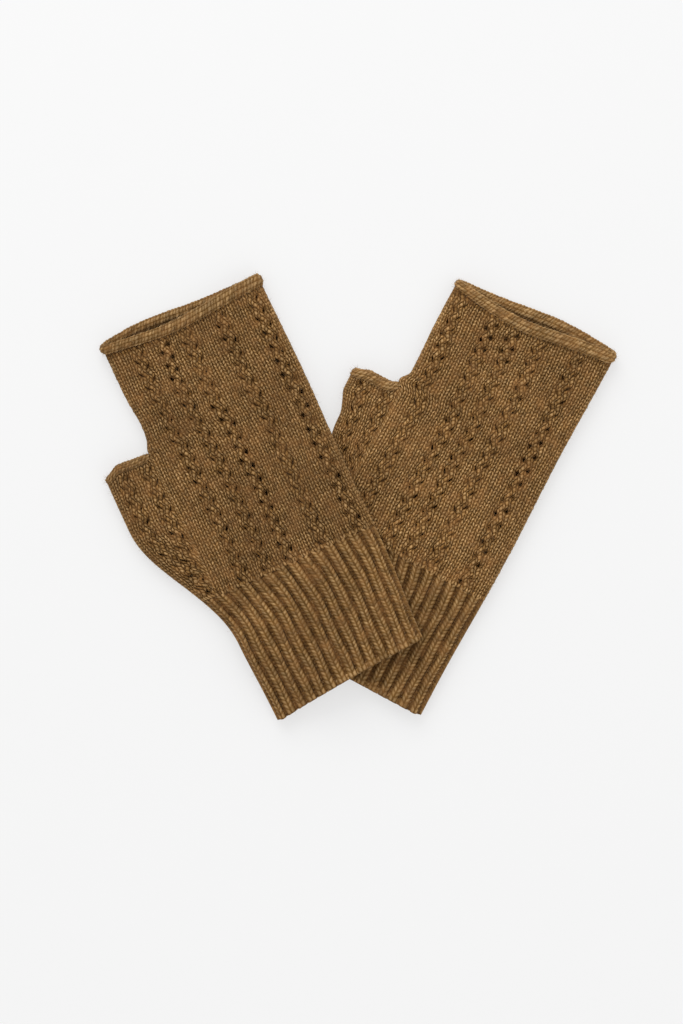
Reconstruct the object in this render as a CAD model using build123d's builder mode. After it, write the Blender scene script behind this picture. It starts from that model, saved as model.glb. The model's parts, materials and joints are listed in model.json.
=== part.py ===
"""A pair of knitted fingerless gloves, laid flat and crossed, one resting partly on the other.

Frame: +Z up, the surface they lie on is z = 0, +Y runs towards the finger ends, and the
origin is under the middle of the pair. Lengths are in millimetres.

Each glove is a flat tube of ribbed cuff, lace hand with a thumb gusset, and lace knuckles
above the thumb opening, in a front half that faces up and a back half that faces down. The
finger and thumb openings have a rolled edge, and the wrist has a cast-on edge. The halves
meet along the side folds, so the space for the hand stays open from the wrist to both
openings.
"""
import os
from math import sqrt

from build123d import *

# ---- Driving dimensions of one glove ----
glove_length = 202.0        # wrist edge to finger edge
cuff_height = 66.0          # ribbed part, from the wrist
thumb_opening_at = 142.0    # thumb edge, measured from the wrist
wrist_half_width = 41.3     # lying flat
hand_half_width = 42.6
thumb_reach = 25.4          # how far the gusset stands out past the hand
flare_start = 40.0          # where the thumb side begins to widen
flare_length = 72.0

# ---- Fabric ----
fabric = 2.0                # thickness of one layer of knitting
hand_space = 5.0            # clear height between the two layers
seam_gap = 0.2              # between the front and back halves, at the side folds
glove_height = 2 * fabric + hand_space
fold_radius = (glove_height - seam_gap) / 2
inner_fold_radius = fold_radius - fabric

# ---- Edges ----
roll_width = 5.4            # finger roll, along the glove
thumb_roll_width = 4.4
roll_thickness = 2.6
roll_proud = 0.6            # how far a roll stands above the glove
roll_overhang = 1.2         # and past its side folds
roll_round = 1.1
wrist_edge_width = 3.0
thumb_crotch_gap = 0.7      # between the thumb roll and the side of the hand

# ---- How the pair lies ----
top_glove_wrist = (-2.8, -91.6)
top_glove_turn = 24.9       # degrees, towards -X
under_glove_wrist = (-5.9, -90.0)
under_glove_turn = -28.0
resting_clearance = 0.4     # between the two gloves
pressed_flat = 0.05         # trimmed level where the under glove lies on the table
drape_margin = 3.0          # the top glove is at full height this far outside the glove below
drape_run = 24.0            # and comes down to the table over this distance

station_pitch = 9.0         # distance between two sections of a loft
across_pitch = 5.0          # distance between two points of a draped section


def smooth_step(x):
    """Rise from 0 to 1 with level ends."""
    x = min(max(x, 0.0), 1.0)
    return x * x * (3 - 2 * x)


def half_width(u):
    """Half of the hand's flat width at u from the wrist."""
    return wrist_half_width + (hand_half_width - wrist_half_width) * smooth_step(u / cuff_height)


def thumb_side(u):
    """Where the thumb side's fold lies, with the gusset standing out past the hand."""
    return half_width(u) + thumb_reach * smooth_step((u - flare_start) / flare_length)


class Glove:
    """Where one glove lies: u runs from its wrist to its fingers, v across it to the thumb."""

    def __init__(self, name, wrist, turn, lies_over=None):
        self.name = name
        self.wrist = Vector(*wrist)
        self.along = Vector(0, 1, 0).rotate(Axis.Z, turn)
        self.across = Vector(-1, 0, 0).rotate(Axis.Z, turn)
        self.lies_over = lies_over

    def lift(self, u, v):
        """Height of the underside: the table, or the glove below with a soft run down."""
        if self.lies_over is None:
            return -pressed_flat
        below = self.lies_over
        offset = self.wrist + self.along * u + self.across * v - below.wrist
        below_u = offset.dot(below.along)
        below_v = offset.dot(below.across)
        past_wrist = (below_u + drape_margin + drape_run) / drape_run
        past_side = (thumb_side(below_u) - below_v + drape_margin + drape_run) / drape_run
        full = glove_height + resting_clearance
        return full * smooth_step(past_wrist) * smooth_step(past_side)

    def middle(self, u, v):
        return self.lift(u, v) + glove_height / 2

    def section_plane(self, u):
        """Across the glove at u: local x is v, and local y is height."""
        return Plane(origin=self.wrist + self.along * u, x_dir=self.across, z_dir=self.along)


def stations(start, end):
    """Evenly spaced section places from start to end."""
    count = max(1, round((end - start) / station_pitch))
    return [start + (end - start) * i / count for i in range(count + 1)]


def across_line(glove, u, v_start, v_end, offset):
    """One face of the fabric between the folds, offset from the glove's middle height."""
    count = max(2, round(abs(v_end - v_start) / across_pitch))
    places = [v_start + (v_end - v_start) * i / count for i in range(count + 1)]
    points = [(v, glove.middle(u, v) + offset) for v in places]
    if glove.lies_over is None:
        return Line(points[0], points[-1])
    return Spline(*points)


def fold_arc(glove, u, v_fold, outward, radius, up, from_fold):
    """A quarter turn of the side fold; outward is +1 at the thumb side, -1 at the other."""
    centre = v_fold - outward * fold_radius
    sine = sqrt(0.5)
    level = up * seam_gap / 2
    turn = [(centre + outward * radius, level),
            (centre + outward * radius * sine, level + up * radius * sine),
            (centre, level + up * radius)]
    points = [(v, glove.middle(u, v) + z) for v, z in turn]
    if not from_fold:
        points.reverse()
    return ThreePointArc(*points)


def draw_layer(glove, u, up, thumb_v, thumb_folded):
    """One layer across the glove: up is +1 for the front and -1 for the back."""
    outer_v = -half_width(u)
    face = up * glove_height / 2
    inner_face = up * hand_space / 2
    outer_start = outer_v + fold_radius
    thumb_end = thumb_v - fold_radius if thumb_folded else thumb_v
    first = fold_arc(glove, u, outer_v, -1, fold_radius, up, True)
    across_line(glove, u, outer_start, thumb_end, face)
    if thumb_folded:
        last = fold_arc(glove, u, thumb_v, 1, fold_radius, up, False)
        inner = fold_arc(glove, u, thumb_v, 1, inner_fold_radius, up, True)
        Line(last @ 1, inner @ 0)
    else:
        middle = glove.middle(u, thumb_v)
        Line((thumb_v, middle + face), (thumb_v, middle + inner_face))
    across_line(glove, u, thumb_end, outer_start, inner_face)
    inner = fold_arc(glove, u, outer_v, -1, inner_fold_radius, up, False)
    Line(inner @ 1, first @ 0)


def draw_gusset(glove, u, up):
    """One layer of the thumb gusset, from its join with the hand to its own fold."""
    join_v = half_width(u) + seam_gap / 2
    thumb_v = thumb_side(u)
    face = up * glove_height / 2
    inner_face = up * hand_space / 2
    fold_start = thumb_v - fold_radius
    middle = glove.middle(u, join_v)
    Line((join_v, middle + inner_face), (join_v, middle + face))
    across_line(glove, u, join_v, fold_start, face)
    outer = fold_arc(glove, u, thumb_v, 1, fold_radius, up, False)
    inner = fold_arc(glove, u, thumb_v, 1, inner_fold_radius, up, True)
    Line(outer @ 1, inner @ 0)
    across_line(glove, u, fold_start, join_v, inner_face)


def draw_loop(glove, u, inset):
    """Round both layers at u, inset from the outer face; inset 0 is the outside."""
    v_low = -half_width(u)
    v_high = thumb_side(u)
    radius = fold_radius - inset
    face = glove_height / 2 - inset
    across_line(glove, u, v_low + fold_radius, v_high - fold_radius, face)
    upper = fold_arc(glove, u, v_high, 1, radius, 1, False)
    lower = fold_arc(glove, u, v_high, 1, radius, -1, True)
    Line(upper @ 1, lower @ 0)
    across_line(glove, u, v_high - fold_radius, v_low + fold_radius, -face)
    lower = fold_arc(glove, u, v_low, -1, radius, -1, False)
    upper = fold_arc(glove, u, v_low, -1, radius, 1, True)
    Line(lower @ 1, upper @ 0)


def finish(piece, name):
    piece.part.label = name
    export_step(piece.part, f"parts/{name}.step")
    box = piece.part.bounding_box()
    sizes = f"{box.min.X:.1f} {box.max.X:.1f} {box.min.Y:.1f} {box.max.Y:.1f} {box.max.Z:.1f}"
    print(name, f"{piece.part.volume:.0f} mm3", sizes)
    return box


def cuff(glove, side, up):
    """Half of the ribbed cuff."""
    with BuildPart() as piece:
        for u in stations(wrist_edge_width, cuff_height):
            with BuildSketch(glove.section_plane(u)):
                with BuildLine():
                    draw_layer(glove, u, up, thumb_side(u), True)
                make_face()
        loft()
        if glove.lies_over is None and up < 0:
            split(bisect_by=Plane.XY)
    return finish(piece, f"{glove.name}_cuff_{side}")


def hand(glove, side, up):
    """Half of the hand beside the thumb gusset, open to the gusset along its join."""
    with BuildPart() as piece:
        for u in stations(cuff_height, thumb_opening_at):
            with BuildSketch(glove.section_plane(u)):
                with BuildLine():
                    draw_layer(glove, u, up, half_width(u) - seam_gap / 2, False)
                make_face()
        loft()
        if glove.lies_over is None and up < 0:
            split(bisect_by=Plane.XY)
    return finish(piece, f"{glove.name}_hand_{side}")


def knuckles(glove, side, up):
    """Half of the tube over the knuckles, knitted on above the thumb opening."""
    with BuildPart() as piece:
        for u in stations(thumb_opening_at, glove_length - roll_width):
            with BuildSketch(glove.section_plane(u)):
                with BuildLine():
                    draw_layer(glove, u, up, half_width(u), True)
                make_face()
        loft()
        if glove.lies_over is None and up < 0:
            split(bisect_by=Plane.XY)
    return finish(piece, f"{glove.name}_knuckles_{side}")


def thumb(glove, side, up):
    """Half of the thumb gusset."""
    with BuildPart() as piece:
        for u in stations(cuff_height, thumb_opening_at - thumb_roll_width):
            with BuildSketch(glove.section_plane(u)):
                with BuildLine():
                    draw_gusset(glove, u, up)
                make_face()
        loft()
        if glove.lies_over is None and up < 0:
            split(bisect_by=Plane.XY)
    return finish(piece, f"{glove.name}_thumb_{side}")


def rolled_edge(glove, name, start, width, v_low, v_high):
    """A rolled edge round an opening: a flattened ring with rounded rims."""
    height = glove_height + roll_proud
    span = v_high - v_low
    centre = ((v_low + v_high) / 2, height / 2)
    with BuildPart() as piece:
        with BuildSketch(glove.section_plane(start)):
            with Locations(centre):
                SlotOverall(span, height)
                inner_height = height - 2 * roll_thickness
                SlotOverall(span - 2 * roll_thickness, inner_height, mode=Mode.SUBTRACT)
        extrude(amount=width)
        rims = piece.edges().filter_by_position(
            Axis(glove.wrist, glove.along), start - 0.01, start + 0.01)
        rims += piece.edges().filter_by_position(
            Axis(glove.wrist, glove.along), start + width - 0.01, start + width + 0.01)
        fillet(rims, radius=roll_round)
    return finish(piece, f"{glove.name}_{name}")


def wrist_edge(glove):
    """The cast-on edge: a narrow band round the whole wrist opening."""
    with BuildPart() as piece:
        for inset, mode in ((0.0, Mode.ADD), (fabric, Mode.SUBTRACT)):
            for u in (0.0, wrist_edge_width):
                with BuildSketch(glove.section_plane(u)):
                    with BuildLine():
                        draw_loop(glove, u, inset)
                    make_face()
            loft(mode=mode)
        if glove.lies_over is None:
            split(bisect_by=Plane.XY)
    return finish(piece, f"{glove.name}_wrist_edge")


def build_glove(glove):
    """All the pieces of one glove; returns their boxes."""
    boxes = []
    for side, up in (("front", 1), ("back", -1)):
        boxes.append(cuff(glove, side, up))
        boxes.append(hand(glove, side, up))
        boxes.append(knuckles(glove, side, up))
        boxes.append(thumb(glove, side, up))
    boxes.append(wrist_edge(glove))
    finger_edge = glove_length - roll_width
    boxes.append(rolled_edge(glove, "finger_roll", finger_edge, roll_width,
                             -hand_half_width - roll_overhang,
                             hand_half_width + roll_overhang))
    thumb_edge = thumb_opening_at - thumb_roll_width
    boxes.append(rolled_edge(glove, "thumb_roll", thumb_edge, thumb_roll_width,
                             hand_half_width + thumb_crotch_gap,
                             hand_half_width + thumb_reach + roll_overhang))
    return boxes


os.makedirs("parts", exist_ok=True)
under_glove = Glove("under_glove", under_glove_wrist, under_glove_turn)
top_glove = Glove("top_glove", top_glove_wrist, top_glove_turn, lies_over=under_glove)
all_boxes = build_glove(under_glove) + build_glove(top_glove)
low_x = min(box.min.X for box in all_boxes)
high_x = max(box.max.X for box in all_boxes)
low_y = min(box.min.Y for box in all_boxes)
high_y = max(box.max.Y for box in all_boxes)
print(f"pair: x {low_x:.2f} to {high_x:.2f}, y {low_y:.2f} to {high_y:.2f}")
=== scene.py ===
"""A crossed pair of knitted fingerless gloves, built as a Blender add-on and run as a script.

The fabric of each panel starts as a flat grid with six columns to a wale and three rows to a
course. Eyelets are cut in it, it is given its thickness, and a formula then lays it round the
glove with every stitch in relief.
"""
import json
import math

import bmesh
import bpy
import numpy as np
from bpy.props import FloatProperty, FloatVectorProperty, IntProperty, PointerProperty
from mathutils import Matrix, Vector

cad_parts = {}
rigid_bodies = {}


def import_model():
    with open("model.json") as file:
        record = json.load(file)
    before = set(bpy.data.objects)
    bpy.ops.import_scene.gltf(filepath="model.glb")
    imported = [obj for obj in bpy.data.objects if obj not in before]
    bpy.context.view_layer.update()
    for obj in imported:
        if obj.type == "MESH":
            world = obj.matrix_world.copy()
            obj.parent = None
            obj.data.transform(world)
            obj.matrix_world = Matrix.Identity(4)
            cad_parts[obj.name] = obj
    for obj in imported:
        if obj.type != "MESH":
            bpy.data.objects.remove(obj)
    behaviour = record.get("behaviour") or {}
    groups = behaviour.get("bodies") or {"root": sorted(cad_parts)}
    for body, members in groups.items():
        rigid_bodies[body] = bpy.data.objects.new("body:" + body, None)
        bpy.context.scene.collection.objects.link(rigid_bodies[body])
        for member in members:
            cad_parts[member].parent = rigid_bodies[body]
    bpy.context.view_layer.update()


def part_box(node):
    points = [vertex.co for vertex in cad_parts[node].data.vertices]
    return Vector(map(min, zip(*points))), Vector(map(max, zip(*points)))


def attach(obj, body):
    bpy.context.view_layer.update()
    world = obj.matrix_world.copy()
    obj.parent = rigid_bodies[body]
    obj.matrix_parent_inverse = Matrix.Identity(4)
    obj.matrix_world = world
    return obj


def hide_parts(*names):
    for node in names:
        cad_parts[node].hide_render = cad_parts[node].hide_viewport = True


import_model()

bl_info = {
    "name": "Fingerless gloves",
    "version": (1, 0, 0),
    "blender": (4, 5, 0),
    "location": "3D View > Sidebar > Gloves",
    "description": "Knits a crossed pair of fingerless gloves round the packed frame",
    "category": "Object",
}

GLOVE_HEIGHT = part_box("under_glove_hand_front")[1][2]
COLUMNS_PER_WALE = 6
ROWS_PER_COURSE = 3
LACE_REPEAT = 4             # courses from one eyelet to the next in the same column
BAND_SPREAD = 0.75          # wales from the middle of a lace band to its eyelets
COLUMNS_PER_STROKE = 5      # mesh columns to one strand of a rolled edge
RIPPLE = 0.00035            # unevenness of hand-laid fabric
CLIMB = 0.85                # courses that a stitch rises from its middle to its edges
INSIDE_SHADE = 0.35         # painted shade on the hidden face of the fabric
SURFACE_RELIEF = 0.62       # relief that lies at the fabric's own surface


# ---------------------------------------------------------------- settings

class GloveSizes(bpy.types.PropertyGroup):
    """Sizes of one glove lying flat."""
    length: FloatProperty(name="Length", description="Wrist edge to finger edge",
                          default=0.202, unit="LENGTH")
    cuff: FloatProperty(name="Cuff", description="Height of the ribbed cuff",
                        default=0.066, unit="LENGTH")
    wrist_half: FloatProperty(name="Half wrist", description="Half the flat width at the wrist",
                              default=0.0413, unit="LENGTH")
    hand_half: FloatProperty(name="Half hand", description="Half the flat width of the hand",
                             default=0.0426, unit="LENGTH")
    thumb_reach: FloatProperty(name="Thumb reach", description="Gusset past the hand",
                               default=0.0254, unit="LENGTH")
    flare_start: FloatProperty(name="Flare start", description="Where the thumb side widens",
                               default=0.040, unit="LENGTH")
    flare_length: FloatProperty(name="Flare length", description="How far the widening runs",
                                default=0.072, unit="LENGTH")
    roll_width: FloatProperty(name="Finger roll", description="Width of the finger roll",
                              default=0.0054, unit="LENGTH")


class KnitSizes(bpy.types.PropertyGroup):
    """Gauge of the knitting."""
    wale: FloatProperty(name="Wale", description="Width of one stitch", default=0.00288,
                        unit="LENGTH")
    course: FloatProperty(name="Course", description="Height of one stitch", default=0.00186,
                          unit="LENGTH")
    rib_course: FloatProperty(name="Rib course", description="Height of one rib stitch",
                              default=0.00206, unit="LENGTH")
    ribs: IntProperty(name="Ribs", description="Ribs across one side of the cuff", default=15)
    relief: FloatProperty(name="Relief", description="Depth between two strands",
                          default=0.00100, unit="LENGTH")
    rib_depth: FloatProperty(name="Rib depth", description="How far the rib valleys sink",
                             default=0.0016, unit="LENGTH")
    thickness: FloatProperty(name="Thickness", description="Thickness of the fabric",
                             default=0.0013, unit="LENGTH")


class YarnColours(bpy.types.PropertyGroup):
    """Colours of the wool, with its painted shade and highlight."""
    # Painted shade for the hollows between the stitches
    shade: FloatVectorProperty(name="Shade", description="Deep between the stitches",
                               subtype="COLOR", default=(0.040, 0.013, 0.0015))
    body: FloatVectorProperty(name="Body", description="Main colour of the yarn",
                              subtype="COLOR", default=(0.210, 0.107, 0.030))
    # Pale melange fibres, also used as the painted highlight on the strand tops
    fleck_and_highlight: FloatVectorProperty(name="Fleck", description="Pale fibres of the melange",
                               subtype="COLOR", default=(0.480, 0.305, 0.140))
    rust: FloatVectorProperty(name="Rust", description="Warm fibres of the melange",
                              subtype="COLOR", default=(0.240, 0.110, 0.036))


class StageSettings(bpy.types.PropertyGroup):
    """Floor, lights and camera."""
    view_height: FloatProperty(name="View height", description="Height of the view on the floor",
                               default=0.5035, unit="LENGTH")
    lens: FloatProperty(name="Lens", description="Camera lens in millimetres", default=100.0)


# ---------------------------------------------------------------- how a glove lies

def smooth_step(x):
    x = np.clip(x, 0.0, 1.0)
    return x * x * (3 - 2 * x)


def bell(x):
    return np.exp(-x * x)


class Glove:
    """One glove's place: u runs from wrist to fingers, v across it towards the thumb."""

    def __init__(self, name, wrist, turn, bands, sag, lean, tilt, curl, pinch, fillet,
                 thumb_opening, thumb_roll, thumb_line, pull, wrist_line, below=None):
        s = bpy.context.scene.glove_sizes
        turn = math.radians(turn)
        self.name = name
        self.wrist = wrist
        self.along = (-math.sin(turn), math.cos(turn))
        self.across = (-math.cos(turn), -math.sin(turn))
        self.bands = bands
        self.sag = sag
        self.lean = lean
        self.tilt = tilt
        self.curl = curl
        self.pinch = pinch
        self.fillet = fillet
        self.thumb_opening = thumb_opening
        self.thumb_roll = thumb_roll
        self.thumb_line = thumb_line
        self.pull = pull
        self.wrist_line = wrist_line
        self.below = below
        self.sizes = s
        self.height = GLOVE_HEIGHT
        self.radius = GLOVE_HEIGHT / 2

    def half(self, u):
        s = self.sizes
        return s.wrist_half + (s.hand_half - s.wrist_half) * smooth_step(u / s.cuff)

    def thumb_side(self, u):
        s = self.sizes
        return self.half(u) + s.thumb_reach * smooth_step((u - s.flare_start) / s.flare_length)

    def roll_width(self, v):
        """Width of the finger roll: set at the outer side, in the middle and at the thumb."""
        outer, middle, thumb = self.curl
        x = np.clip(v / self.sizes.hand_half, -1, 1)
        return middle + x * (thumb - outer) / 2 + x * x * ((thumb + outer) / 2 - middle)

    def floor_point(self, u, v):
        x = self.wrist[0] + u * self.along[0] + v * self.across[0]
        y = self.wrist[1] + u * self.along[1] + v * self.across[1]
        return x, y

    def local(self, x, y):
        dx = x - self.wrist[0]
        dy = y - self.wrist[1]
        return (dx * self.along[0] + dy * self.along[1],
                dx * self.across[0] + dy * self.across[1])

    def lift(self, u, v):
        """Height of the underside, with a soft run down off the glove below."""
        if self.below is None:
            return np.zeros_like(u)
        margin = 0.003
        run = 0.024
        clearance = 0.0004
        below_u, below_v = self.below.local(*self.floor_point(u, v))
        inside = self.below.thumb_side(below_u) - below_v
        past_wrist = smooth_step((below_u + margin + run) / run)
        past_side = smooth_step((inside + margin + run) / run)
        return (self.height + clearance) * past_wrist * past_side

    def mouth_shift(self, u, v, side):
        """The front edge of the finger opening sags back, and the back edge stands up."""
        s = self.sizes
        reach = 0.045
        near = smooth_step((u - s.length + reach) / reach)
        at, width, amount = self.sag[0 if side > 0 else 1]
        return near * (amount * bell((v - at) / width) - self.tilt * v / s.hand_half)

    def crotch_shift(self, u, v):
        """Above the thumb opening the hand's edge is drawn in, then rounds out to the thumb."""
        past = u - self.thumb_opening
        round_reach = 0.007
        pinch_at = 0.013
        pinch_width = 0.012
        drawn = self.fillet * np.clip(1 - past / round_reach, 0, 1) ** 2
        drawn = drawn - self.pinch * bell((past - pinch_at) / pinch_width)
        return drawn * smooth_step((past + 0.004) / 0.008) * smooth_step((v - 0.010) / 0.033)

    def thumb_shift(self, u, v):
        """The line of the thumb opening, from the hand to its rounded outer corner."""
        rise, sag, drop = self.thumb_line
        x = np.clip((v - self.half(u)) / self.sizes.thumb_reach, 0, 1)
        line = rise * x - sag * smooth_step(x / 0.3) - drop * smooth_step((x - 0.66) / 0.34)
        return line * smooth_step((u - self.thumb_opening + 0.022) / 0.020)

    def wrist_shift(self, u, v):
        """Slants the wrist edge and rounds its two corners."""
        corner_size = 0.0036
        slant_reach = 0.055
        corner_reach = 0.009
        corner = smooth_step(1 - (v + self.half(u)) / corner_size)
        corner = corner + smooth_step(1 - (self.thumb_side(u) - v) / corner_size)
        middle, slant, bow = self.wrist_line
        x = np.clip(v / self.sizes.wrist_half, -1, 1)
        line = (middle + slant * x + bow * x * x) * smooth_step(1 - u / slant_reach)
        return line + (0.0010 * corner - 0.0012) * smooth_step(1 - u / corner_reach)

    def world(self, u, v, z, side):
        """Places of points at height z from the middle of the glove, on its front or back."""
        u = u + self.mouth_shift(u, v, side)
        v = v + RIPPLE * np.sin(u * 61 + self.wrist[0] * 900 + v * 45)
        u = u + self.wrist_shift(u, v)
        x, y = self.floor_point(u, v)
        settle = RIPPLE * np.sin(x * 95 + 1.3) * np.sin(y * 80 + 0.4)
        height = self.lift(u, v) + self.radius + side * (z + settle * (z / self.radius))
        return np.stack([x, y, np.maximum(height, 0)], axis=1)


def make_gloves():
    """The two gloves, with the places of their lace bands across the hand."""
    top_bands = (0.0284, 0.0154, 0.0026, -0.0161, -0.0350)
    under_bands = (0.0336, 0.0153, 0.0036, -0.0098, -0.0292)
    under = Glove("under_glove", wrist=(-0.0059, -0.0900), turn=-28.0, bands=under_bands,
                  sag=((0.008, 0.030, -0.0046), (-0.014, 0.030, 0.0036)), lean=0.0026,
                  tilt=0.0016, curl=(0.0058, 0.0064, 0.0042), pinch=0.0004, fillet=0.0048,
                  thumb_opening=0.1418, thumb_roll=0.0052,
                  thumb_line=(0.0, 0.0018, 0.0026), pull=0.0044,
                  wrist_line=(0.0019, 0.0002, 0.0))
    top = Glove("top_glove", wrist=(-0.0028, -0.0916), turn=24.9, bands=top_bands,
                sag=((0.006, 0.030, -0.0040), (0.020, 0.024, 0.0028)), lean=-0.0010,
                tilt=0.0, curl=(0.0066, 0.0060, 0.0046), pinch=0.0019, fillet=0.0,
                thumb_opening=0.1440, thumb_roll=0.0038,
                thumb_line=(0.0024, 0.0, 0.0044), pull=0.0,
                wrist_line=(0.0032, -0.0039, -0.0012), below=under)
    return under, top


# ---------------------------------------------------------------- knitting

def shuffle(a, b, seed):
    """A repeatable scatter from 0 to 1 for each pair of whole numbers."""
    value = np.sin(a * 127.1 + b * 311.7 + seed * 74.7) * 43758.5453
    return value - np.floor(value)


def knit_relief(wale, row, seed):
    """Height of stockinette, 0 between strands to 1 on them: two legs to a stitch."""
    x = wale - np.floor(wale)
    leg = np.abs(np.sin(2 * np.pi * x))
    strand = np.sin(np.pi * (row - np.floor(row)))
    uneven = 0.80 + 0.4 * shuffle(np.floor(wale * 2), np.floor(row), seed)
    return np.clip(leg ** 0.7 * (0.25 + 0.75 * strand) * uneven, 0, 1.1)


def chevron(wale):
    """How far a row climbs from the middle of a stitch to its edges, in courses."""
    x = wale - np.floor(wale)
    return CLIMB * np.abs(2 * x - 1)


def flat_knit(wales, courses, holes=()):
    """A closed sheet in stitch units: x counts wales, y counts rows, z is 0 or -1."""
    bm = bmesh.new()
    bmesh.ops.create_grid(bm, x_segments=wales * COLUMNS_PER_WALE,
                          y_segments=courses * ROWS_PER_COURSE, size=0.5)
    bmesh.ops.scale(bm, vec=(wales, courses, 1), verts=bm.verts)
    bmesh.ops.translate(bm, vec=(wales / 2, courses / 2, 0), verts=bm.verts)
    if len(holes):
        middles = np.array([f.calc_center_median()[:2] for f in bm.faces])
        cut = np.zeros(len(middles), bool)
        for wale, row, size in holes:
            dx = (middles[:, 0] - wale) / (0.17 * size)
            dy = (middles[:, 1] - row) / (0.38 * size)
            cut |= dx * dx + dy * dy < 1
        doomed = [f for f, gone in zip(bm.faces, cut) if gone]
        bmesh.ops.delete(bm, geom=doomed, context="FACES")
    bmesh.ops.solidify(bm, geom=bm.faces[:], thickness=1.0)
    bmesh.ops.recalc_face_normals(bm, faces=bm.faces[:])
    return bm


def read_points(mesh):
    flat = np.empty(len(mesh.vertices) * 3)
    mesh.vertices.foreach_get("co", flat)
    return flat.reshape(-1, 3)


def keep_stitches(mesh, wale, row, depth, seed):
    """Store the stitch coordinates as the UV map, the relief as painted shade and highlight, and
    a random tone as attributes.
    """
    corners = np.empty(len(mesh.loops), dtype=np.int32)
    mesh.loops.foreach_get("vertex_index", corners)
    layer = mesh.uv_layers.new(name="stitches")
    pairs = np.stack([wale[corners], row[corners]], axis=1)
    layer.uv.foreach_set("vector", pairs.astype(np.float32).ravel())
    # depth is painted shade and highlight: dark where the yarn sinks, pale where it stands up
    store = mesh.attributes.new("yarn_depth", "FLOAT", "POINT")
    store.data.foreach_set("value", depth.astype(np.float32))
    tone = shuffle(np.floor(wale * 2 + 1e-4), np.floor(row + 1e-4), seed + 5)
    store = mesh.attributes.new("yarn_tone", "FLOAT", "POINT")
    store.data.foreach_set("value", tone.astype(np.float32))


def make_piece(name, mesh, points, material, flip):
    mesh.vertices.foreach_set("co", points.astype(np.float32).ravel())
    if flip:
        mesh.flip_normals()
    mesh.polygons.foreach_set("use_smooth", np.ones(len(mesh.polygons), bool))
    mesh.materials.append(material)
    mesh.update()
    piece = bpy.data.objects.new(name, mesh)
    bpy.context.scene.collection.objects.link(piece)
    return piece


def mesh_from(bm, name):
    mesh = bpy.data.meshes.new(name)
    bm.to_mesh(mesh)
    bm.free()
    low = read_points(mesh)
    return mesh, low[:, 0].copy(), low[:, 1].copy(), low[:, 2] < -0.5


def lay_round(glove, t, u, offset, side, thumb_v, folded):
    """Lay a sheet over one side of the glove.

    t runs from 0 on the outer fold to 1 on the thumb side; folded is 1 where that side turns
    down to the glove's middle height, and 0 where it carries on flat into the gusset.
    """
    r = glove.radius
    quarter = math.pi / 2 * r
    half = glove.half(u)
    flat = half + thumb_v - 2 * r
    distance = t * (flat + 2 * quarter)
    outer_turn = np.clip((quarter - distance) / r, 0, math.pi / 2)
    narrow = (flat + r) / (flat + quarter)
    beyond = np.maximum(distance - quarter, 0) * (narrow + (1 - narrow) * folded)
    past = np.maximum(beyond - flat, 0)
    bend = np.maximum(folded, 1e-4) / r
    thumb_turn = past * bend
    v = -half + r * (1 - np.sin(outer_turn)) + np.minimum(beyond, flat)
    v = v + np.sin(thumb_turn) / bend
    z = r * np.cos(outer_turn) - (1 - np.cos(thumb_turn)) / bend
    v = v + offset * (np.sin(thumb_turn) - np.sin(outer_turn))
    v = v + glove.crotch_shift(u, v)
    z = z + offset * np.cos(outer_turn) * np.cos(thumb_turn)
    return glove.world(u, v, z, side)


def edge_fade(row, courses, reach=1.2):
    """0 at the first and last rows, so neighbouring pieces meet in a straight line."""
    return smooth_step(row / reach) * smooth_step((courses - row) / reach)


def hole_marks(wale, row, holes):
    """How close each point is to an eyelet, from 0 to 1."""
    mark = np.zeros_like(wale)
    for hole_wale, hole_row, size in holes:
        near = (np.abs(wale - hole_wale) < 2) & (np.abs(row - hole_row) < 3)
        d = ((wale[near] - hole_wale) / 0.5) ** 2 + ((row[near] - hole_row) / 0.9) ** 2
        mark[near] = np.maximum(mark[near], size * np.exp(-d))
    return mark


def lace_holes(middle_at, courses, seed, first, scale, top_clear):
    """Two staggered columns of eyelets beside the line that middle_at(row) gives, in wales."""
    holes = []
    for k in range(int(courses / (LACE_REPEAT / 2)) + 1):
        row = first + k * LACE_REPEAT / 2
        if not 1.2 < row < courses - top_clear:
            continue
        side = -1 if k % 2 else 1
        size = 0.70 + 0.40 * float(shuffle(np.float64(k), np.float64(side), seed))
        size *= scale
        holes.append((middle_at(row) + side * BAND_SPREAD, row, size))
    return holes


def lace_phase(side):
    """First row, size and clear rows at the top; the back is out of step and pulled closer."""
    return (1.5, 1.0, 2.6) if side > 0 else (2.5, 0.7, 26.0)


def braid(wale, row, middle_at):
    """Sideways swing of the wales in a lace band."""
    across = (wale - middle_at(row)) / 1.3
    return 0.30 * np.sin(2 * np.pi * (row - 1.5) / LACE_REPEAT) * bell(across)


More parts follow.
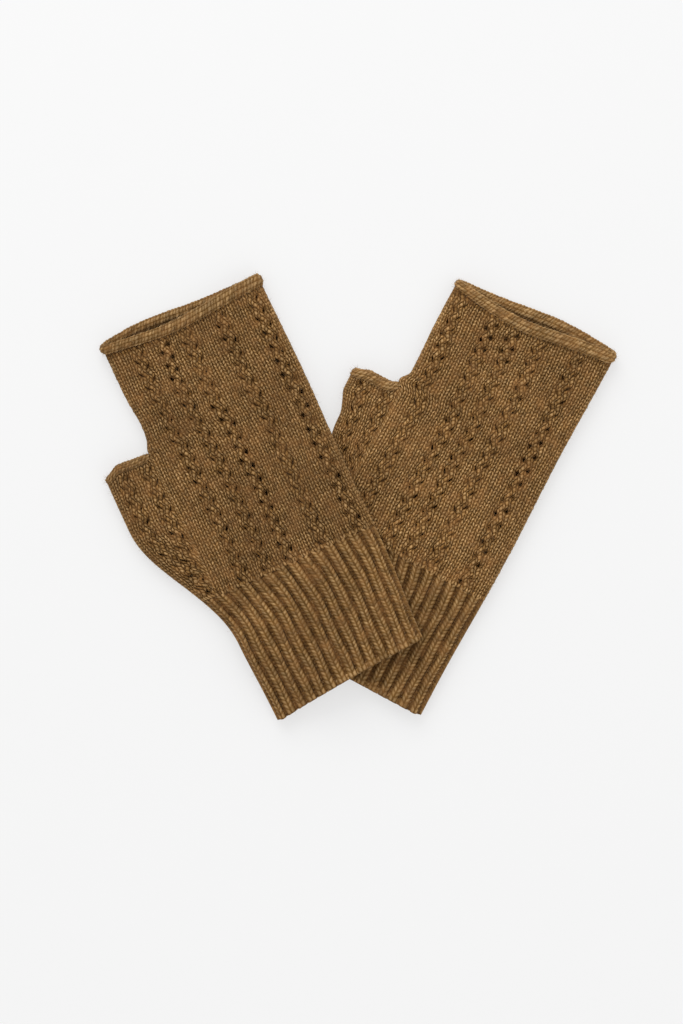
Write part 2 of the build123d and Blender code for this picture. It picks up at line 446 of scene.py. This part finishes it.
def lace_hand(glove, side, material, seed):
    """The lace fabric over the hand and the knuckles, on one side of a glove."""
    s = glove.sizes
    knit = bpy.context.scene.knit_sizes
    quarter = math.pi / 2 * glove.radius
    full_width = 2 * (s.hand_half - glove.radius) + 2 * quarter
    wales = round(full_width / knit.wale)
    tuck = 0.0010
    crown_height = 0.00030
    eyelet_sink = 0.00090
    furrow_depth = 0.0008
    roll_shadow = 0.0034
    start = s.cuff - tuck
    end = s.length - s.roll_width * 0.45
    courses = round((end - start) / knit.course)

    def band_line(v):
        base = (v + s.hand_half - glove.radius + quarter) / full_width * wales

        def middle_at(row):
            high = smooth_step((row / courses - 0.55) / 0.45)
            return base + glove.lean / knit.wale * high
        return middle_at

    lines = [band_line(v) for v in glove.bands]
    holes = []
    for i, middle_at in enumerate(lines):
        holes += lace_holes(middle_at, courses, seed + i, *lace_phase(side))
    mesh, wale, row, inside = mesh_from(flat_knit(wales, courses, holes), "knit")
    fade = smooth_step((courses - row) / 1.2) * (0.5 + 0.5 * smooth_step(row / 0.8))
    relief = knit_relief(wale, row, seed)
    marks = hole_marks(wale, row, holes)
    swing = np.zeros_like(wale)
    crown = np.zeros_like(wale)
    for middle_at in lines:
        swing += braid(wale, row, middle_at)
        crown += bell((wale - middle_at(row)) / 1.1)
    side_fade = smooth_step(wale / 1.5) * smooth_step((wales - wale) / 1.5)
    wander = 0.10 * np.sin(row * 0.33 + wale * 0.9 + seed) * side_fade
    t = (wale + (swing * fade + wander) * side_fade) / wales
    u = start + (row + chevron(wale) * fade) / courses * (end - start)
    cuff_width = s.hand_half + glove.thumb_side(s.cuff) - 2 * glove.radius + 2 * quarter
    furrow_start = 0.68
    rib_place = ((wale / wales * full_width / cuff_width) * 2 * knit.ribs + 0.5) / 2
    rib_place = rib_place - np.floor(rib_place)
    across = (rib_place - furrow_start) / (1 - furrow_start)
    furrow = np.where(across > 0, np.sin(np.pi * across), 0)
    furrow = furrow * smooth_step(1 - row / 5)
    level = relief - SURFACE_RELIEF
    offset = level * knit.relief * fade * smooth_step(np.minimum(wale, wales - wale) / 0.4)
    offset += fade * (crown * crown_height - marks * eyelet_sink) - furrow * furrow_depth
    offset = np.where(inside, -knit.thickness - marks * 0.0004, offset)
    # Painted shade from the relief, deepened round the eyelets and in the rib furrows, then a
    # painted shadow under the finger roll; high relief becomes painted highlight
    shade = relief * (1 - 0.85 * marks) * (1 - 0.6 * furrow)
    shadow = smooth_step(1 - (s.length - s.roll_width - u) / roll_shadow)
    shade = shade * (1 - 0.55 * shadow)
    depth = np.where(inside, INSIDE_SHADE, np.clip(shade, 0, 1))
    folded = smooth_step((u - glove.thumb_opening + 0.005) / 0.012)
    points = lay_round(glove, t, u, offset, side, glove.half(u), folded)
    keep_stitches(mesh, wale, row, depth, seed)
    face = "front" if side > 0 else "back"
    name = f"{glove.name}_lace_{face}"
    piece = make_piece(name, mesh, points, material, side > 0)
    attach(piece, glove.name)
    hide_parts(f"{glove.name}_hand_{face}", f"{glove.name}_knuckles_{face}")
    return piece


def rib_cuff(glove, side, material, seed):
    """The ribbed cuff on one side of a glove: a knit wale, then a sunk purl wale."""
    s = glove.sizes
    knit = bpy.context.scene.knit_sizes
    tuck = 0.0016
    length = s.cuff + tuck
    courses = round(length / knit.rib_course)
    wales = 2 * knit.ribs
    mesh, wale, row, inside = mesh_from(flat_knit(wales, courses), "rib")
    fade = edge_fade(row, courses, 1.0)
    pair = (wale + 0.5) / 2
    place = pair - np.floor(pair)
    knit_part = 0.80
    in_knit = place < 0.5
    across = np.where(in_knit, place / 0.5, (place - 0.5) / 0.5)
    eased = np.where(in_knit, across * knit_part, knit_part + across * (1 - knit_part))
    spread = (np.floor(pair) + eased) * 2 - 0.5
    ends = smooth_step(wale / 1.0) * smooth_step((wales - wale) / 1.0)
    t = (wale + (spread - wale) * ends
         + 0.08 * np.sin(row * 0.4 + np.floor(pair) * 1.7 + seed) * ends) / wales
    strand = np.sin(np.pi * (row - np.floor(row)))
    legs = np.abs(np.sin(2 * np.pi * across)) ** 0.8
    uneven = 0.85 + 0.3 * shuffle(np.floor(pair), np.floor(row), seed)
    crown = np.sin(np.pi * across) ** 0.5
    knit_height = 0.62 * crown + legs * (0.08 + 0.42 * strand) * uneven
    purl_height = 0.16 * strand * np.sin(np.pi * across)
    height = np.where(in_knit, knit_height, purl_height)
    # Painted shade and highlight: pale on the rib crowns and strand tops, dark in the purl
    # valleys, blending near the top into the hand's
    knit_shade = crown ** 0.6 * (0.22 + 0.78 * legs * (0.25 + 0.75 * strand)) * uneven
    shade = np.where(in_knit, knit_shade, 0.03 + 0.20 * strand)
    merge = smooth_step((courses - row) / 3.0)
    shade = shade * merge + knit_relief(wale, row, seed) * (1 - merge)
    climb = np.where(in_knit, CLIMB * np.abs(2 * across - 1), CLIMB)
    u = (row + climb * fade) / courses * length
    u = u + np.where(in_knit, 0.0, 0.0006) * smooth_step(1 - row / 2)
    top_fade = 0.35 + 0.65 * smooth_step((courses - row) / 4.5)
    low_fade = 0.75 + 0.25 * smooth_step(row / 1.5)
    offset = (height - 0.95) * knit.rib_depth * top_fade * low_fade
    offset *= smooth_step(np.minimum(wale, wales - wale) / 0.5)
    offset -= 0.0010 * smooth_step(1 - (courses - row) / 1.6)
    offset = np.where(inside, -knit.thickness - 0.0008 * top_fade, offset)
    depth = np.where(inside, INSIDE_SHADE, np.clip(shade, 0, 1))
    points = lay_round(glove, t, u, offset, side, glove.thumb_side(u), np.ones_like(u))
    keep_stitches(mesh, wale, row, depth, seed)
    face = "front" if side > 0 else "back"
    piece = make_piece(f"{glove.name}_cuff_{face}_rib", mesh, points, material, side > 0)
    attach(piece, glove.name)
    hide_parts(f"{glove.name}_cuff_{face}")
    return piece


def gusset(glove, side, material, seed):
    """The thumb gusset on one side: its wales run beside the outer fold."""
    s = glove.sizes
    knit = bpy.context.scene.knit_sizes
    r = glove.radius
    quarter = math.pi / 2 * r
    start = s.cuff
    end = glove.thumb_opening - glove.thumb_roll * 0.5
    courses = round((end - start) / knit.course)
    wales = math.ceil((quarter + s.thumb_reach - r) / knit.wale)

    def row_u(row):
        return start + row / courses * (end - start)

    def join_wale(row):
        u = row_u(row)
        return (quarter + glove.thumb_side(u) - r - glove.half(u)) / knit.wale

    def edge_band(row):
        from_edge = 0.0085
        return np.full_like(np.float64(row), (quarter - r + from_edge) / knit.wale)

    def join_band(row):
        from_join = 0.0046
        return join_wale(row) - from_join / knit.wale

    phase = lace_phase(side)
    outer = lace_holes(edge_band, courses, seed, *phase)
    inner = lace_holes(join_band, courses, seed + 1, *phase)
    holes = [hole for hole in outer if hole[0] + 1.4 < join_wale(hole[1])]
    holes += [hole for hole in inner if hole[0] > 1.0]
    bm = flat_knit(wales, courses, holes)
    cell = 1.0 / COLUMNS_PER_WALE
    doomed = [f for f in bm.faces
              if min(v.co.x - join_wale(v.co.y) for v in f.verts) > -0.02 * cell]
    bmesh.ops.delete(bm, geom=doomed, context="FACES")
    for vert in bm.verts:
        vert.co.x = min(vert.co.x, float(join_wale(vert.co.y)))
    open_edges = [e for e in bm.edges if e.is_boundary]
    bmesh.ops.holes_fill(bm, edges=open_edges, sides=0)
    bmesh.ops.recalc_face_normals(bm, faces=bm.faces[:])
    mesh, wale, row, inside = mesh_from(bm, "gusset")
    limit = join_wale(row)
    fade = edge_fade(row, courses)
    beside = smooth_step((limit - wale) / 0.45) * smooth_step(wale / 0.8)
    marks = hole_marks(wale, row, holes)
    eyelet_sink = 0.0007
    relief = knit_relief(wale, row, seed)
    swing = braid(wale, row, edge_band) + braid(wale, row, join_band)
    distance = (wale + swing * fade * beside) * knit.wale
    u = row_u(row + chevron(wale) * fade * beside)
    level = relief - SURFACE_RELIEF
    offset = level * knit.relief * fade * beside - marks * fade * beside * eyelet_sink
    offset = np.where(inside, -knit.thickness, offset)
    # Painted shade from the relief, deepened round the eyelets; the hidden face gets a flat
    # painted shade
    depth = np.where(inside, INSIDE_SHADE, np.clip(relief * (1 - 0.75 * marks), 0, 1))
    turn = np.clip((quarter - distance) / r, 0, math.pi / 2)
    side_v = glove.thumb_side(u)
    v = side_v - r * (1 - np.sin(turn)) - np.maximum(distance - quarter, 0)
    v = np.maximum(v, glove.half(u)) + offset * np.sin(turn)
    pull = glove.pull * smooth_step((u - 0.066) / 0.030) * smooth_step((0.128 - u) / 0.016)
    v = v - pull * (v - glove.half(u)) / (side_v - glove.half(u))
    z = r * np.cos(turn) + offset * np.cos(turn)
    points = glove.world(u + glove.thumb_shift(u, v), v, z, side)
    keep_stitches(mesh, wale, row, depth, seed)
    face = "front" if side > 0 else "back"
    piece = make_piece(f"{glove.name}_gusset_{face}", mesh, points, material, side < 0)
    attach(piece, glove.name)
    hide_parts(f"{glove.name}_thumb_{face}")
    return piece


def ring_piece(name, columns, rows, place, material, seed, twist):
    """A closed roll of fabric: place(p, q, out) puts a point round the opening and the roll."""
    bm = bmesh.new()
    bmesh.ops.create_grid(bm, x_segments=columns, y_segments=rows, size=0.5)
    bmesh.ops.translate(bm, vec=(0.5, 0.5, 0), verts=bm.verts)
    mesh, p, q, _ = mesh_from(bm, name)
    stitches = columns / COLUMNS_PER_STROKE
    around = q * twist
    turn = np.floor(around) % twist
    wander = 0.16 * np.sin(2 * np.pi * (round(stitches * 0.31) * p + q))
    within = around - np.floor(around)
    phase = p * stitches + 0.5 * np.floor(around) + 0.9 * within + wander
    number = np.floor(phase) % stitches
    bump = np.abs(np.sin(np.pi * phase)) ** 0.6
    course = np.abs(np.sin(np.pi * within)) ** 0.6
    uneven = 0.70 + 0.55 * shuffle(number, turn, seed)
    relief = bump * (0.42 + 0.58 * course) * uneven
    # The relief also goes in as painted shade between the strokes and painted highlight on them
    keep_stitches(mesh, phase / 2, around, np.clip(relief, 0, 1), seed)
    mesh.vertices.foreach_set("co", place(p, q, relief).astype(np.float32).ravel())
    joined = bmesh.new()
    joined.from_mesh(mesh)
    bmesh.ops.remove_doubles(joined, verts=joined.verts, dist=1e-6)
    bmesh.ops.recalc_face_normals(joined, faces=joined.faces)
    joined.to_mesh(mesh)
    joined.free()
    mesh.polygons.foreach_set("use_smooth", np.ones(len(mesh.polygons), bool))
    mesh.materials.append(material)
    piece = bpy.data.objects.new(name, mesh)
    bpy.context.scene.collection.objects.link(piece)
    return piece


def racetrack(p, v_low, v_high, radius):
    """Round a flattened ring: place and outward direction at p from 0 to 1, and the side."""
    straight = v_high - v_low - 2 * radius
    turn = math.pi * radius
    total = 2 * straight + 2 * turn
    d = (p % 1.0) * total
    centre_low = v_low + radius
    centre_high = v_high - radius
    on_front = d < straight
    on_high = (d >= straight) & (d < straight + turn)
    on_back = (d >= straight + turn) & (d < 2 * straight + turn)
    angle = np.select([on_front, on_high, on_back],
                      [np.full_like(d, math.pi / 2), math.pi / 2 - (d - straight) / radius,
                       np.full_like(d, -math.pi / 2)],
                      -math.pi / 2 - (d - 2 * straight - turn) / radius)
    v = np.select([on_front, on_high, on_back],
                  [centre_low + d, np.full_like(d, centre_high),
                   centre_high - (d - straight - turn)], np.full_like(d, centre_low))
    return v, np.cos(angle), np.sin(angle), total


def rolled_edge(glove, kind, at, width, v_low, v_high, material, seed):
    """A curled edge round the finger or the thumb opening."""
    thick = 0.0040
    height = glove.height + 0.0018
    radius = (height - thick) / 2
    inset = thick / 2
    total = racetrack(np.zeros(1), v_low + inset, v_high - inset, radius)[3]
    stroke = 0.0017
    columns = round(total / stroke) * COLUMNS_PER_STROKE

    def place(p, q, relief):
        v, nv, nz, _ = racetrack(p, v_low + inset, v_high - inset, radius)
        side = np.where(nz >= 0, 1.0, -1.0)
        around = 2 * np.pi * q
        grow = (relief - 0.6) * 0.0006
        wide = np.full_like(v, width)
        if kind == "finger_roll":
            wide = glove.roll_width(v + nv * radius)
        out = (thick / 2 + grow) * np.cos(around)
        along = (wide / 2 + grow) * np.sin(around) - (wide - width) / 2
        v = v + nv * (radius + out)
        z = nz * (radius + out)
        u = at + along
        shifted = np.where(side > 0, glove.mouth_shift(u, v, 1), glove.mouth_shift(u, v, -1))
        if kind == "finger_roll":
            level = glove.mouth_shift(u, v, 1) + glove.mouth_shift(u, v, -1)
            shifted = level / 2 + (shifted - level / 2) * np.abs(nz)
        else:
            x = np.clip((v - v_low) / (v_high - v_low), 0, 1)
            shifted = -0.0010 * np.sin(np.pi * x) * np.clip(nz, 0, 1)
            shifted = shifted + glove.thumb_shift(u, v)
        x, y = glove.floor_point(u + shifted, v)
        lifted = glove.lift(u, v) + height / 2 + z
        return np.stack([x, y, np.maximum(lifted, 0)], axis=1)

    piece = ring_piece(f"{glove.name}_{kind}_curl", columns, 32, place, material, seed, 8)
    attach(piece, glove.name)
    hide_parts(f"{glove.name}_{kind}")
    return piece


def cast_on_edge(glove, material, seed):
    """The twisted cast-on yarn round the wrist opening."""
    r = glove.radius
    inset = 0.0017
    strokes = 120
    ribs = 30
    half = float(glove.half(np.float64(0)))

    def place(p, q, relief):
        v, nv, nz, _ = racetrack(p, -half + inset, half - inset, r - inset)
        around = 2 * np.pi * q
        ribbing = 0.5 + 0.5 * np.sin(p * 2 * np.pi * ribs)
        grow = (relief - 0.5) * 0.00035
        out = (0.00085 + grow) * np.cos(around)
        along = (0.0014 + grow) * np.sin(around)
        v = v + nv * (r - inset + out)
        z = nz * (r - inset + out) - nz * 0.0004 * ribbing
        u = 0.0014 + along + 0.0003 * ribbing
        x, y = glove.floor_point(u + glove.wrist_shift(u, v), v)
        lifted = glove.lift(u, v) + r + z
        return np.stack([x, y, np.maximum(lifted, 0)], axis=1)

    columns = strokes * COLUMNS_PER_STROKE
    piece = ring_piece(f"{glove.name}_cast_on", columns, 12, place, material, seed, 2)
    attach(piece, glove.name)
    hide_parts(f"{glove.name}_wrist_edge")
    return piece


def add_fibre(bm, root, lean, rng):
    """One thin closed cone rooted in the yarn."""
    length = rng.uniform(0.0010, 0.0026)
    way = Vector(lean * 0.55 + rng.normal(size=3) * 0.5)
    way.z = max(way.z, 0.02)
    way.normalize()
    middle = Vector(root) + way * (length / 2 - 0.0002)
    turn = way.to_track_quat("Z", "Y").to_matrix().to_4x4()
    bmesh.ops.create_cone(bm, cap_ends=True, segments=3, radius1=0.000035, radius2=0.000014,
                          depth=length, matrix=Matrix.Translation(middle) @ turn)


def loose_fibres(glove, above, count, material, seed):
    """Short stray fibres on the upper side of a glove, clear of the glove lying on it."""
    rng = np.random.default_rng(seed)
    margin = 0.004
    batch_size = 120
    roots = []
    leans = []
    for piece in bpy.data.objects:
        if not piece.name.startswith(glove.name) or piece.type != "MESH":
            continue
        if not piece.name.endswith(("lace_front", "front_rib", "gusset_front", "curl")):
            continue
        points = read_points(piece.data)
        normals = np.empty(len(points) * 3)
        piece.data.vertex_normals.foreach_get("vector", normals)
        normals = normals.reshape(-1, 3)
        u, v = glove.local(points[:, 0], points[:, 1])
        open_side = points[:, 2] > glove.lift(u, v) + glove.radius
        facing = (normals[:, 2] > -0.1) & open_side
        if above is not None:
            u, v = above.local(points[:, 0], points[:, 1])
            facing &= ~((u > -margin) & (v > -above.half(u) - margin)
                        & (v < above.thumb_side(u) + margin))
        roots.append(points[facing])
        leans.append(normals[facing])
    roots = np.concatenate(roots)
    leans = np.concatenate(leans)
    edge = np.linalg.norm(leans[:, :2], axis=1)
    weight = 0.4 + edge ** 3
    picked = rng.choice(len(roots), count, replace=False, p=weight / weight.sum())
    bm = bmesh.new()
    batch = bpy.data.meshes.new("batch")
    for some in np.array_split(picked, count // batch_size):
        part = bmesh.new()
        for i in some:
            add_fibre(part, roots[i], leans[i], rng)
        part.to_mesh(batch)
        part.free()
        bm.from_mesh(batch)
    bpy.data.meshes.remove(batch)
    mesh = bpy.data.meshes.new("fibres")
    bm.to_mesh(mesh)
    bm.free()
    mesh.materials.append(material)
    piece = bpy.data.objects.new(f"{glove.name}_loose_fibres", mesh)
    bpy.context.scene.collection.objects.link(piece)
    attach(piece, glove.name)
    return piece


# ---------------------------------------------------------------- wool

def node(tree, kind, **values):
    made = tree.nodes.new(kind)
    for key, value in values.items():
        if hasattr(made, key):
            setattr(made, key, value)
        else:
            made.inputs[key.replace("_", " ")].default_value = value
    return made


def mix_colour(tree, factor, first, second, blend="MIX"):
    mixer = tree.nodes.new("ShaderNodeMix")
    mixer.data_type = "RGBA"
    mixer.blend_type = blend
    for socket, value in ((mixer.inputs[0], factor), (mixer.inputs[6], first),
                          (mixer.inputs[7], second)):
        if isinstance(value, bpy.types.NodeSocket):
            tree.links.new(value, socket)
        else:
            socket.default_value = value
    return mixer.outputs[2]


def grade(tree, value, low, high, to_low=0.0, to_high=1.0):
    ranged = node(tree, "ShaderNodeMapRange")
    ranged.inputs["From Min"].default_value = low
    ranged.inputs["From Max"].default_value = high
    ranged.inputs["To Min"].default_value = to_low
    ranged.inputs["To Max"].default_value = to_high
    tree.links.new(value, ranged.inputs["Value"])
    return ranged.outputs["Result"]


def wool(name, painted_brightness=1.0, ply=(3.0, 1.1)):
    """Soft melange wool: painted shade between strands and painted highlight on their tops, from
    the stored relief; pale and rusty fibres on them.
    """
    colours = bpy.context.scene.yarn_colours
    material = bpy.data.materials.new(name)
    material.use_nodes = True
    tree = material.node_tree
    shader = tree.nodes["Principled BSDF"]
    place = node(tree, "ShaderNodeTexCoord")
    stitches = node(tree, "ShaderNodeUVMap", uv_map="stitches")
    # Relief from the geometry, read back as painted shade and highlight
    depth = node(tree, "ShaderNodeAttribute", attribute_name="yarn_depth")

    def noise_at(scale, detail, source=None):
        made = node(tree, "ShaderNodeTexNoise", Scale=scale, Detail=detail, Roughness=0.6)
        tree.links.new(source or place.outputs["Object"], made.inputs["Vector"])
        return made.outputs["Fac"]

    def tint(colour):
        return tuple(c * painted_brightness for c in colour) + (1.0,)

    stretch = node(tree, "ShaderNodeMapping")
    stretch.inputs["Scale"].default_value = (ply[1], ply[0], 1.0)
    tree.links.new(stitches.outputs["UV"], stretch.inputs["Vector"])
    fibres = noise_at(5.0, 4.0, stretch.outputs["Vector"])
    flecks = noise_at(1500.0, 3.0)
    patches = noise_at(140.0, 2.0)
    broad = noise_at(28.0, 2.0)

    # Painted shade in the hollows, the body colour, then painted highlight on the strand tops
    ramp = tree.nodes.new("ShaderNodeValToRGB")
    stops = ((0.0, colours.shade), (0.45, colours.body), (1.0, colours.fleck_and_highlight))
    ramp.color_ramp.elements.new(0.5)
    for stop, (at, colour) in zip(ramp.color_ramp.elements, stops):
        stop.position = at
        stop.color = tint(colour)
    tree.links.new(depth.outputs["Fac"], ramp.inputs["Fac"])
    warm = mix_colour(tree, grade(tree, patches, 0.42, 0.72, 0.0, 0.55), ramp.outputs["Color"],
                      tint(colours.rust))
    pale = mix_colour(tree, grade(tree, flecks, 0.54, 0.74, 0.0, 0.50), warm,
                      tint(colours.fleck_and_highlight))
    spun = mix_colour(tree, grade(tree, fibres, 0.46, 0.25, 0.0, 0.5), pale,
                      tint(colours.shade))
    tone = node(tree, "ShaderNodeAttribute", attribute_name="yarn_tone")
    stitch_tone = grade(tree, tone.outputs["Fac"], 0.0, 1.0, 0.72, 1.24)
    toned = tree.nodes.new("ShaderNodeHueSaturation")
    tree.links.new(stitch_tone, toned.inputs["Value"])
    tree.links.new(spun, toned.inputs["Color"])
    cloudy = tree.nodes.new("ShaderNodeHueSaturation")
    tree.links.new(grade(tree, broad, 0.3, 0.7, 0.86, 1.12), cloudy.inputs["Value"])
    tree.links.new(toned.outputs["Color"], cloudy.inputs["Color"])
    tree.links.new(cloudy.outputs["Color"], shader.inputs["Base Color"])

    wave = node(tree, "ShaderNodeTexWave", Scale=1.0, Distortion=1.5, Detail=1.0)
    wave.bands_direction = "DIAGONAL"
    twist = node(tree, "ShaderNodeMapping")
    twist.inputs["Scale"].default_value = (1.6, 2.6, 1.0)
    tree.links.new(stitches.outputs["UV"], twist.inputs["Vector"])
    tree.links.new(twist.outputs["Vector"], wave.inputs["Vector"])
    ply_bump = node(tree, "ShaderNodeBump", Strength=0.35, Distance=0.0004)
    tree.links.new(wave.outputs["Fac"], ply_bump.inputs["Height"])
    fibre_bump = node(tree, "ShaderNodeBump", Strength=0.6, Distance=0.0005)
    tree.links.new(flecks, fibre_bump.inputs["Height"])
    tree.links.new(ply_bump.outputs["Normal"], fibre_bump.inputs["Normal"])
    tree.links.new(fibre_bump.outputs["Normal"], shader.inputs["Normal"])

    shader.inputs["Roughness"].default_value = 0.92
    shader.inputs["Specular IOR Level"].default_value = 0.10
    shader.inputs["Sheen Weight"].default_value = 0.07
    shader.inputs["Sheen Roughness"].default_value = 0.45
    shader.inputs["Sheen Tint"].default_value = (0.90, 0.62, 0.34, 1.0)
    return material


def wool_of(glove, use, painted_brightness=1.0):
    """The wool of one glove for one use; for the glove below the same wool is painted lighter,
    its cuff darker.
    """
    name = f"{glove.name}_{use}_wool"
    # The glove below: the same wool painted lighter, and its cuff painted darker
    if glove.below is None:
        painted_brightness = painted_brightness * (0.93 if use == "rib" else 1.18)
    return bpy.data.materials.get(name) or wool(name, painted_brightness)


def fibre_wool():
    """Pale wool for single stray fibres."""
    colours = bpy.context.scene.yarn_colours
    material = bpy.data.materials.new("stray_fibre")
    material.use_nodes = True
    tree = material.node_tree
    shader = tree.nodes["Principled BSDF"]
    place = node(tree, "ShaderNodeTexCoord")
    grain = node(tree, "ShaderNodeTexNoise", Scale=900.0, Detail=2.0)
    tree.links.new(place.outputs["Object"], grain.inputs["Vector"])
    tone = mix_colour(tree, grade(tree, grain.outputs["Fac"], 0.35, 0.65),
                      tuple(colours.body) + (1.0,), tuple(colours.fleck_and_highlight) + (1.0,))
    tree.links.new(tone, shader.inputs["Base Color"])
    shader.inputs["Roughness"].default_value = 0.8
    shader.inputs["Sheen Weight"].default_value = 0.2
    return material


def plain(name, colour, roughness, glow):
    material = bpy.data.materials.new(name)
    material.use_nodes = True
    tree = material.node_tree
    shader = tree.nodes["Principled BSDF"]
    place = node(tree, "ShaderNodeTexCoord")
    grain = node(tree, "ShaderNodeTexNoise", Scale=60.0, Detail=3.0)
    tree.links.new(place.outputs["Object"], grain.inputs["Vector"])
    tone = mix_colour(tree, grade(tree, grain.outputs["Fac"], 0.3, 0.7),
                      colour + (1.0,), tuple(c * 0.995 for c in colour) + (1.0,))
    tree.links.new(tone, shader.inputs["Base Color"])
    shader.inputs["Roughness"].default_value = roughness
    shader.inputs["Emission Color"].default_value = (1.0, 1.0, 1.0, 1.0)
    shader.inputs["Emission Strength"].default_value = glow
    return material


# ---------------------------------------------------------------- operators

class GLOVES_OT_lace_hands(bpy.types.Operator):
    """Knit the lace fabric over the hands and knuckles"""
    bl_idname = "gloves.lace_hands"
    bl_label = "Lace hands"

    def execute(self, context):
        for seed, glove in enumerate(make_gloves()):
            material = wool_of(glove, "lace")
            lace_hand(glove, 1, material, seed + 1)
            lace_hand(glove, -1, material, seed + 11)
        return {"FINISHED"}


class GLOVES_OT_gussets(bpy.types.Operator):
    """Knit the thumb gussets"""
    bl_idname = "gloves.gussets"
    bl_label = "Thumb gussets"

    def execute(self, context):
        for seed, glove in enumerate(make_gloves()):
            material = wool_of(glove, "lace")
            gusset(glove, 1, material, seed + 21)
            gusset(glove, -1, material, seed + 31)
        return {"FINISHED"}


class GLOVES_OT_cuffs(bpy.types.Operator):
    """Knit the ribbed cuffs"""
    bl_idname = "gloves.cuffs"
    bl_label = "Ribbed cuffs"

    def execute(self, context):
        for seed, glove in enumerate(make_gloves()):
            material = wool_of(glove, "rib")
            rib_cuff(glove, 1, material, seed + 41)
            rib_cuff(glove, -1, material, seed + 51)
        return {"FINISHED"}


class GLOVES_OT_rolls(bpy.types.Operator):
    """Curl the edges of the finger and thumb openings"""
    bl_idname = "gloves.rolls"
    bl_label = "Rolled edges"

    def execute(self, context):
        s = context.scene.glove_sizes
        over = 0.0012
        for seed, glove in enumerate(make_gloves()):
            # The rolled edges are the same wool painted a little darker
            material = wool_of(glove, "roll", 0.92)
            rolled_edge(glove, "finger_roll", s.length - s.roll_width / 2, s.roll_width,
                        -s.hand_half - over, s.hand_half + over, material, seed + 61)
            rolled_edge(glove, "thumb_roll", glove.thumb_opening - glove.thumb_roll / 2,
                        glove.thumb_roll, s.hand_half + 0.0002,
                        s.hand_half + s.thumb_reach + 0.0004, material, seed + 71)
        return {"FINISHED"}


class GLOVES_OT_cast_on(bpy.types.Operator):
    """Twist the cast-on edges of the wrists"""
    bl_idname = "gloves.cast_on"
    bl_label = "Cast-on edges"

    def execute(self, context):
        for seed, glove in enumerate(make_gloves()):
            material = wool_of(glove, "rib")
            cast_on_edge(glove, material, seed + 81)
        return {"FINISHED"}


class GLOVES_OT_fibres(bpy.types.Operator):
    """Raise stray fibres on the wool"""
    bl_idname = "gloves.fibres"
    bl_label = "Stray fibres"

    def execute(self, context):
        material = fibre_wool()
        under, top = make_gloves()
        loose_fibres(under, top, 3600, material, 91)
        loose_fibres(top, None, 5200, material, 92)
        return {"FINISHED"}


class GLOVES_OT_stage(bpy.types.Operator):
    """Lay the floor and set the lights and the camera"""
    bl_idname = "gloves.stage"
    bl_label = "Stage"

    def execute(self, context):
        scene = context.scene
        stage = scene.glove_stage
        bm = bmesh.new()
        floor_half = 3.0
        floor_gap = 0.0002
        bmesh.ops.create_grid(bm, x_segments=2, y_segments=2, size=floor_half)
        bmesh.ops.translate(bm, vec=(0, 0, -floor_gap), verts=bm.verts)
        mesh = bpy.data.meshes.new("floor")
        bm.to_mesh(mesh)
        bm.free()
        floor = bpy.data.objects.new("floor", mesh)
        mesh.materials.append(plain("pale_floor", (0.30, 0.30, 0.30), 0.9, 0.585))
        scene.collection.objects.link(floor)

        world = bpy.data.worlds.new("studio")
        world.use_nodes = True
        back = world.node_tree.nodes["Background"]
        back.inputs["Color"].default_value = (1.0, 1.0, 1.0, 1.0)
        back.inputs["Strength"].default_value = 0.80
        scene.world = world
        scene.view_settings.view_transform = "Standard"

        lights = (("key", (-0.35, 1.25, 1.15), 1.2, 13.0), ("fill", (0.9, -0.7, 1.4), 1.4, 2.5))
        for name, place, size, power in lights:
            lamp = bpy.data.lights.new(name, "AREA")
            lamp.size = size
            lamp.energy = power
            holder = bpy.data.objects.new(name, lamp)
            holder.location = place
            holder.rotation_euler = (-Vector(place)).to_track_quat("-Z", "Y").to_euler()
            scene.collection.objects.link(holder)

        camera = bpy.data.cameras.new("camera")
        camera.lens = stage.lens
        camera.sensor_fit = "VERTICAL"
        camera.sensor_height = 36.0
        aim = (-0.0077, -0.0082, 0.008)
        holder = bpy.data.objects.new("camera", camera)
        distance = stage.view_height * stage.lens / camera.sensor_height
        holder.location = (aim[0], aim[1], aim[2] + distance)
        scene.collection.objects.link(holder)
        scene.camera = holder
        return {"FINISHED"}


class GLOVES_PT_panel(bpy.types.Panel):
    """Steps that make the gloves, in order"""
    bl_idname = "GLOVES_PT_panel"
    bl_label = "Fingerless gloves"
    bl_space_type = "VIEW_3D"
    bl_region_type = "UI"
    bl_category = "Gloves"

    def draw(self, context):
        for step in STEPS:
            self.layout.operator(step.bl_idname)


STEPS = (GLOVES_OT_stage, GLOVES_OT_lace_hands, GLOVES_OT_gussets, GLOVES_OT_cuffs,
         GLOVES_OT_rolls, GLOVES_OT_cast_on, GLOVES_OT_fibres)
SETTINGS = (("glove_sizes", GloveSizes), ("knit_sizes", KnitSizes),
            ("yarn_colours", YarnColours), ("glove_stage", StageSettings))


def register():
    for name, group in SETTINGS:
        bpy.utils.register_class(group)
        setattr(bpy.types.Scene, name, PointerProperty(type=group))
    for step in STEPS:
        bpy.utils.register_class(step)
    bpy.utils.register_class(GLOVES_PT_panel)


def unregister():
    bpy.utils.unregister_class(GLOVES_PT_panel)
    for step in reversed(STEPS):
        bpy.utils.unregister_class(step)
    for name, group in reversed(SETTINGS):
        delattr(bpy.types.Scene, name)
        bpy.utils.unregister_class(group)


def main():
    register()
    bpy.ops.gloves.stage()
    bpy.ops.gloves.lace_hands()
    bpy.ops.gloves.gussets()
    bpy.ops.gloves.cuffs()
    bpy.ops.gloves.rolls()
    bpy.ops.gloves.cast_on()
    bpy.ops.gloves.fibres()


if __name__ == "__main__":
    main()
